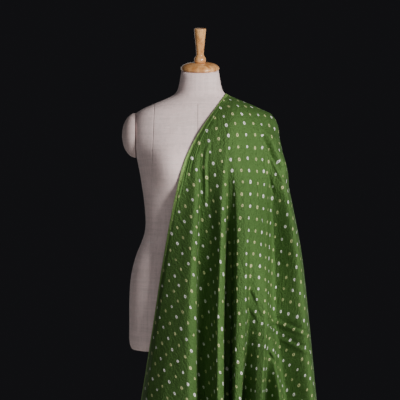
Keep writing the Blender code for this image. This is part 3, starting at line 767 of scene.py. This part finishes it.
def draped_points(steps, rows):
    """The cloth's points, row by row from the shoulder to the hem, and its columns' places."""
    line = fold_lines(steps)
    top_z = eased(SHOULDER_X, SHOULDER_Z, line["x_top"])
    bearing = np.radians(line["bearing"])
    across, along = np.abs(np.sin(bearing)), np.abs(np.cos(bearing))
    cut = np.minimum(
        CLOTH_WIDTH / np.maximum(across, 1e-6),
        CLOTH_LENGTH / 2 / np.maximum(along, 1e-6),
    )
    hem = SHOULDER_Z[0] - HANG * cut
    front = line["bearing"] <= 90
    share = np.arange(0, rows[0] + 1)[:, None] / rows[0]
    z = top_z - (top_z - CHEST) * share**2
    round_x = line["x_top"] + (line["x_chest"] - line["x_top"]) * share
    x = down_line(line, "x", z, top_z) * along + round_x * (1 - along)
    ahead_front, ahead_back, _ = body_ahead(x, z, OFF_FORM)
    reach = line["ahead_chest"] * np.sin(share * math.pi / 2)
    ahead = np.where(front, soft_top(ahead_front, reach), -soft_top(ahead_back, -reach))
    ahead[0] = 0
    low_z = row_heights(rows[1:], hem)
    low_x = down_line(line, "x", low_z, top_z)
    low_ahead = down_line(line, "ahead", low_z, top_z)
    ahead_front, ahead_back, body_half = body_ahead(low_x, low_z, OFF_FORM)
    on_body = (low_z > FORM_FLOOR - 0.01) & (np.abs(low_x) < body_half + OFF_FORM)
    low_ahead = np.where(front & on_body, soft_top(low_ahead, ahead_front), low_ahead)
    low_ahead = np.where(~front & on_body, -soft_top(-low_ahead, ahead_back), low_ahead)
    x = np.concatenate([x, low_x])
    z = np.concatenate([z, low_z])
    ahead = np.concatenate([ahead, low_ahead])
    return np.stack([x, -ahead, z], axis=2), line


def eased_chest(points):
    """Takes out the slight change of slope where the shoulder meets the hanging cloth."""
    near = np.exp(-(((points[1:-1, :, 2:] - CHEST) / CHEST_NEAR) ** 2))
    for _ in range(CHEST_PASSES):
        middle = (points[:-2] + points[2:]) / 2
        points[1:-1] += (middle - points[1:-1]) * near * CHEST_SHARE
    return points


def faded_ends(along, power):
    """1 in the middle of a crease and 0 at both its ends."""
    return np.clip(along * (1 - along) * 4, 0, 1) ** power


def ridge_and_trough(across, at, deep, sharp):
    """A soft ridge of height 1 with a trough beside it."""
    return np.exp(-(across**2)) - deep * np.exp(-((across - at) ** 2) * sharp)


def crease_height(x, z):
    """How far the creases lift the cloth at places of the front."""
    lift = np.zeros_like(x)
    for x_from, z_from, x_to, z_to, wide, high, turn, swell in CREASES[1:]:
        run = np.array([x_to - x_from, z_to - z_from])
        length = np.linalg.norm(run)
        run = run / length
        along = ((x - x_from) * run[0] + (z - z_from) * run[1]) / length
        across = turn * ((x - x_from) * -run[1] + (z - z_from) * run[0]) / wide
        edge = ridge_and_trough(across, TROUGH_AT, TROUGH_DEEP, TROUGH_SHARP)
        rise = np.clip((across - SWELL_FROM) / SWELL_RISE, 0, 1)
        past = np.maximum(across - SWELL_FROM - SWELL_RISE, 0) / SWELL_FALL
        bulge = rise * rise * (3 - 2 * rise) * np.exp(-(past**2))
        lift += faded_ends(along, CREASE_FADE) * (high * edge + swell * bulge)
    return lift


def pleat_height(fold, z):
    """How far the narrow pleats lift the cloth."""
    lift = np.zeros_like(z)
    for at, wide, high, z_from, z_to in PLEATS[1:]:
        run = np.clip((z_from - z) / (z_from - z_to), 0, 1)
        across = (fold - at) / wide
        edge = ridge_and_trough(across, PLEAT_TROUGH_AT, PLEAT_TROUGH_DEEP, PLEAT_TROUGH_SHARP)
        lift += high * faded_ends(run, PLEAT_FADE) * edge
    return lift


def surface_normals(points):
    """The outward direction at every point of the cloth's rows and columns."""
    down = np.gradient(points, axis=0)
    over = np.gradient(points, axis=1)
    normal = np.cross(down, over)
    size = np.linalg.norm(normal, axis=2, keepdims=True)
    return normal / np.maximum(size, 1e-9)


def form_surface():
    """The outside of the form and the covered arm cap, to measure distances from."""
    shape = bmesh.new()
    for name in ("torso", "arm_cap_under_cloth"):
        shape.from_mesh(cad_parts[name].data)
    joint = [f for f in shape.faces if all(abs(v.co.x - ARMHOLE_X) <= 2 * FIT for v in f.verts)]
    bmesh.ops.delete(shape, geom=joint, context="FACES_ONLY")
    surface = BVHTree.FromBMesh(shape)
    shape.free()
    return surface


def lift_off(surface, points, gap):
    """Moves points outward that lie in the form or too close to it."""
    flat = points.reshape(-1, 3)
    close = np.nonzero(flat[:, 2] > FORM_FLOOR - 0.02)[0]
    for i in close:
        spot = Vector(flat[i])
        near, normal, _, far = surface.find_nearest(spot, 0.05)
        if near is None:
            continue
        depth = (spot - near).dot(normal)
        signed = far if depth > 0 else -far
        if signed < gap:
            out = (spot - near).normalized() if depth > 0 and far > 1e-6 else normal
            flat[i] = near + out * gap
    return flat.reshape(points.shape)


def grid_sheet(name, points):
    """A sheet through rows and columns of points, whose mesh keeps their order."""
    rows, across = points.shape[:2]
    clear_selection()
    bpy.ops.mesh.primitive_grid_add(x_subdivisions=across - 1, y_subdivisions=rows - 1, size=1)
    sheet = bpy.context.object
    sheet.name = name
    sheet.data.vertices.foreach_set("co", points.reshape(-1).astype(np.float32))
    sheet.data.update()
    return sheet


def join_doubles():
    """Joins the points of the active sheet that lie together, which closes its shoulder."""
    bpy.ops.object.mode_set(mode="EDIT")
    bpy.ops.mesh.select_all(action="SELECT")
    bpy.ops.mesh.remove_doubles(threshold=SAME_PLACE)
    bpy.ops.object.mode_set(mode="OBJECT")


def corner_owners(mesh):
    """The point that each corner of each face belongs to."""
    owner = np.empty(len(mesh.loops), np.int32)
    mesh.loops.foreach_get("vertex_index", owner)
    return owner


def unfolded(coarse):
    """Rows and columns of points laid out flat, at their real size."""
    draft = grid_sheet("flat_draft", coarse)
    join_doubles()
    bpy.ops.object.mode_set(mode="EDIT")
    bpy.ops.mesh.select_all(action="SELECT")
    bpy.ops.uv.unwrap(
        method="MINIMUM_STRETCH", iterations=20, fill_holes=False, correct_aspect=False, margin=0
    )
    bpy.ops.object.mode_set(mode="OBJECT")
    mesh = draft.data
    spots = np.empty(len(mesh.loops) * 2, np.float32)
    mesh.uv_layers.active.data.foreach_get("uv", spots)
    place = np.zeros((len(mesh.vertices), 2))
    place[corner_owners(mesh)] = spots.reshape(-1, 2)
    solid = np.empty(len(mesh.vertices) * 3, np.float32)
    mesh.vertices.foreach_get("co", solid)
    solid = solid.reshape(-1, 3)
    ends = np.array([tuple(edge.vertices) for edge in mesh.edges])
    real = np.linalg.norm(solid[ends[:, 0]] - solid[ends[:, 1]], axis=1).sum()
    drawn = np.linalg.norm(place[ends[:, 0]] - place[ends[:, 1]], axis=1).sum()
    place *= real / drawn
    near = [np.argmin(np.linalg.norm(solid - spot, axis=1)) for spot in coarse.reshape(-1, 3)]
    bpy.data.objects.remove(draft, do_unlink=True)
    return place[near].reshape(*coarse.shape[:2], 2)


def laid_flat(points):
    """The cloth's points laid out on a table, in metres from the neck across and along the edge."""
    rows, across = points.shape[:2]
    pick_down = sorted({*range(0, rows, FLAT_STEP), rows - 1})
    pick_over = sorted({*range(0, across, COLUMNS_PER_FOLD // 2), across - 1})
    table = unfolded(points[np.ix_(pick_down, pick_over)])
    neck = table[0, 0]
    edge = table[-1, 0] - table[len(pick_down) // 3, 0]
    edge = edge / np.linalg.norm(edge)
    over = np.array([edge[1], -edge[0]])
    if (table[-1, len(pick_over) // 2] - neck) @ over < 0:
        over = -over
    local = np.stack([(table - neck) @ over, (table - neck) @ edge], axis=2)
    full = np.empty((rows, across, 2))
    for side in (0, 1):
        wide = np.array([np.interp(np.arange(across), pick_over, row) for row in local[:, :, side]])
        for column in range(across):
            full[:, column, side] = np.interp(np.arange(rows), pick_down, wide[:, column])
    return full


def tied_grid(flat):
    """Rows and columns of the tied dots at each place of the flat cloth, counted from the neck.

    The dots are tied in an even grid that slants across the cloth.
    """
    downward = np.array([math.sin(DOT_SLANT), math.cos(DOT_SLANT)])
    sideways = np.array([math.cos(DOT_SLANT), -math.sin(DOT_SLANT)])
    return np.stack([flat @ downward / DOT_DOWN, flat @ sideways / DOT_SIDE], axis=2)


def raised_points(smooth, line):
    """The draped cloth's points with its creases and pleats, kept clear of the form."""
    height = smooth[:, :, 2]
    normal = surface_normals(smooth)
    facing = np.clip(-normal[:, :, 1] * 3, 0, 1)
    creases = np.where(line["bearing"] < 89, crease_height(smooth[:, :, 0], height), 0)
    fold = np.where(line["bearing"] <= 90, line["fold"], line["fold"].max() - line["fold"])
    pleats = pleat_height(np.repeat(fold[None, :], len(smooth), axis=0), height)
    points = smooth + normal * (creases * facing + pleats)[:, :, None]
    points[0] = (smooth[0] + smooth[0, ::-1]) / 2
    points = lift_off(form_surface(), points, OFF_FORM)
    points[0] = (points[0] + points[0, ::-1]) / 2
    return points


def edge_distances(points):
    """How far each point lies from the nearer long edge and from the hem, along the cloth."""
    over = np.linalg.norm(np.diff(points, axis=1), axis=2)
    from_front = np.concatenate([np.zeros((len(points), 1)), np.cumsum(over, axis=1)], axis=1)
    from_edge = np.minimum(from_front, from_front[:, -1:] - from_front)
    fall = np.linalg.norm(np.diff(points, axis=0), axis=2)
    from_top = np.concatenate([np.zeros((1, points.shape[1])), np.cumsum(fall, axis=0)])
    return np.stack([from_edge, from_top[-1:] - from_top], axis=2)


def bandhani_cloth():
    """The draped cloth with its creases, on the folds of its solid."""
    smooth, line = draped_points(COLUMNS_PER_FOLD, [count for _, count in ROWS])
    smooth = eased_chest(smooth)
    points = raised_points(smooth, line)
    flat = laid_flat(smooth)
    cloth = grid_sheet("bandhani_cloth", points)
    mesh = cloth.data
    owner = corner_owners(mesh)
    while mesh.uv_layers:
        mesh.uv_layers.remove(mesh.uv_layers[0])
    for name, place in (("flat", flat), ("grid", tied_grid(flat)), ("edges", edge_distances(points))):
        layer = mesh.uv_layers.new(name=name)
        layer.data.foreach_set("uv", place.reshape(-1, 2)[owner].reshape(-1).astype(np.float32))
    join_doubles()
    face_outward(cloth)
    mesh.shade_smooth()
    mesh.materials.append(bandhani_look())
    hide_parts("cloth")
    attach(cloth, "root")


def face_outward(cloth):
    """Turns the sheet's faces so that the front looks away from the form."""
    mesh = cloth.data
    lean = sum(face.normal.y * face.area for face in mesh.polygons if face.center.y < -0.1)
    if lean > 0:
        mesh.flip_normals()


def linen_torso(look):
    """The form's body, a smoother copy of its solid."""
    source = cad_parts["torso"]
    body = source.copy()
    body.data = source.data.copy()
    bpy.context.scene.collection.objects.link(body)
    body.name = "linen_torso"
    active(body)
    bpy.ops.object.mode_set(mode="EDIT")
    bpy.ops.mesh.select_all(action="SELECT")
    bpy.ops.mesh.remove_doubles(threshold=1e-5)
    bpy.ops.mesh.tris_convert_to_quads(face_threshold=math.radians(60), shape_threshold=math.radians(60))
    bpy.ops.mesh.select_all(action="DESELECT")
    bpy.ops.mesh.edges_select_sharp(sharpness=math.radians(50))
    bpy.ops.transform.edge_crease(value=1)
    bpy.ops.object.mode_set(mode="OBJECT")
    soft = body.modifiers.new("soft", "SUBSURF")
    soft.levels = 1
    soft.render_levels = 1
    bpy.ops.object.modifier_apply(modifier="soft")
    finish_piece(body, look, "torso", 45)


def finish_piece(piece, look, node, angle):
    """Gives a piece its look, hides the solid it stands for and hangs it on the root."""
    piece.data.materials.clear()
    piece.data.materials.append(look)
    active(piece)
    bpy.ops.object.shade_smooth_by_angle(angle=math.radians(angle))
    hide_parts(node)
    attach(piece, "root")


def arm_pad(name, node, side, size, look):
    """The padded stub that closes an armhole."""
    out, deep, tall = size
    clear_selection()
    bpy.ops.mesh.primitive_uv_sphere_add(segments=48, ring_count=32, radius=1)
    pad = bpy.context.object
    pad.name = name
    bpy.ops.object.mode_set(mode="EDIT")
    bpy.ops.mesh.select_all(action="SELECT")
    bpy.ops.transform.rotate(value=math.pi / 2, orient_axis="Y", center_override=(0, 0, 0))
    bpy.ops.mesh.bisect(plane_co=(0, 0, 0), plane_no=(side, 0, 0), clear_inner=True, use_fill=True)
    bpy.ops.mesh.select_all(action="SELECT")
    bpy.ops.transform.resize(value=(out, deep, tall), center_override=(0, 0, 0))
    bpy.ops.transform.translate(value=(side * (ARMHOLE_X + PAD_GAP), 0, ARM_HEIGHT))
    bpy.ops.mesh.normals_make_consistent(inside=False)
    bpy.ops.object.mode_set(mode="OBJECT")
    finish_piece(pad, look, node, 40)


def turned_piece(name, node, profile, look, place=None):
    """A piece turned on a lathe: half of its outline, spun round."""
    clear_selection()
    bpy.ops.mesh.primitive_plane_add(size=0.001)
    blank = bpy.context.object
    blank.name = name
    mesh = blank.data
    shape = bmesh.new()
    spots = [shape.verts.new((radius, 0, height)) for radius, height in profile]
    for pair in zip(spots, spots[1:]):
        shape.edges.new(pair)
    shape.to_mesh(mesh)
    shape.free()
    bpy.ops.object.mode_set(mode="EDIT")
    bpy.ops.mesh.select_all(action="SELECT")
    bpy.ops.mesh.spin(steps=TURN_STEPS, angle=2 * math.pi, center=(0, 0, 0), axis=(0, 0, 1))
    bpy.ops.mesh.select_all(action="SELECT")
    bpy.ops.mesh.remove_doubles(threshold=1e-6)
    bpy.ops.mesh.normals_make_consistent(inside=False)
    bpy.ops.object.mode_set(mode="OBJECT")
    if place is not None:
        mesh.transform(place)
    finish_piece(blank, look, node, 35)


def softened(profile, cut=0.0006):
    """The outline with its corners rounded and its long curves made smooth."""
    spots = [Vector((radius, height, 0)) for radius, height in profile]
    out = [spots[0]]
    for before, here, after in zip(spots, spots[1:], spots[2:]):
        back = before - here
        ahead = after - here
        size = min(cut * 3, back.length * 0.4, ahead.length * 0.4)
        start = here + back.normalized() * size
        end = here + ahead.normalized() * size
        for share in (0, 0.25, 0.5, 0.75, 1):
            one = start.lerp(here, share)
            two = here.lerp(end, share)
            out.append(one.lerp(two, share))
    out.append(spots[-1])
    return [(max(spot.x, 0), spot.y) for spot in out]


def neck_fittings(look):
    """The turned cap and handle, square to the neck's tilted top."""
    seat = Matrix.Translation((0, -NECK_FORWARD, NECK_TOP + FIT)) @ Matrix.Rotation(NECK_TILT, 4, "X")
    turned_piece("neck_cap_turned", "neck_cap", softened(CAP_PROFILE, 0.0014), look, seat)
    above = seat @ Matrix.Translation((0, 0, CAP_TALL + FIT))
    turned_piece("neck_handle_turned", "neck_handle", softened(HANDLE_PROFILE, 0.0012), look, above)


studio()
linen = linen_look("linen", 1.0)
# The pads' linen is the same linen, darkened with painted shade.
pad_linen_painted_shade = linen_look("pad_linen_painted_shade", 0.72)
varnished = turned_wood_look("varnished_wood", 0.30)
linen_torso(linen)
arm_pad("arm_pad_bare", "arm_cap_bare", -1, BARE_CAP, pad_linen_painted_shade)
arm_pad("arm_pad_covered", "arm_cap_under_cloth", 1, ARM_CAP, pad_linen_painted_shade)
neck_fittings(varnished)
board = turned_wood_look("varnished_board", 0.34, flat_grain=True)
turned_piece("stand_foot_turned", "stand_foot", softened(FOOT_PROFILE), board)
turned_piece("stand_pole_turned", "stand_pole", softened(POLE_PROFILE), varnished)
turned_piece("stand_flange_turned", "stand_flange", softened(FLANGE_PROFILE), varnished)
bandhani_cloth()
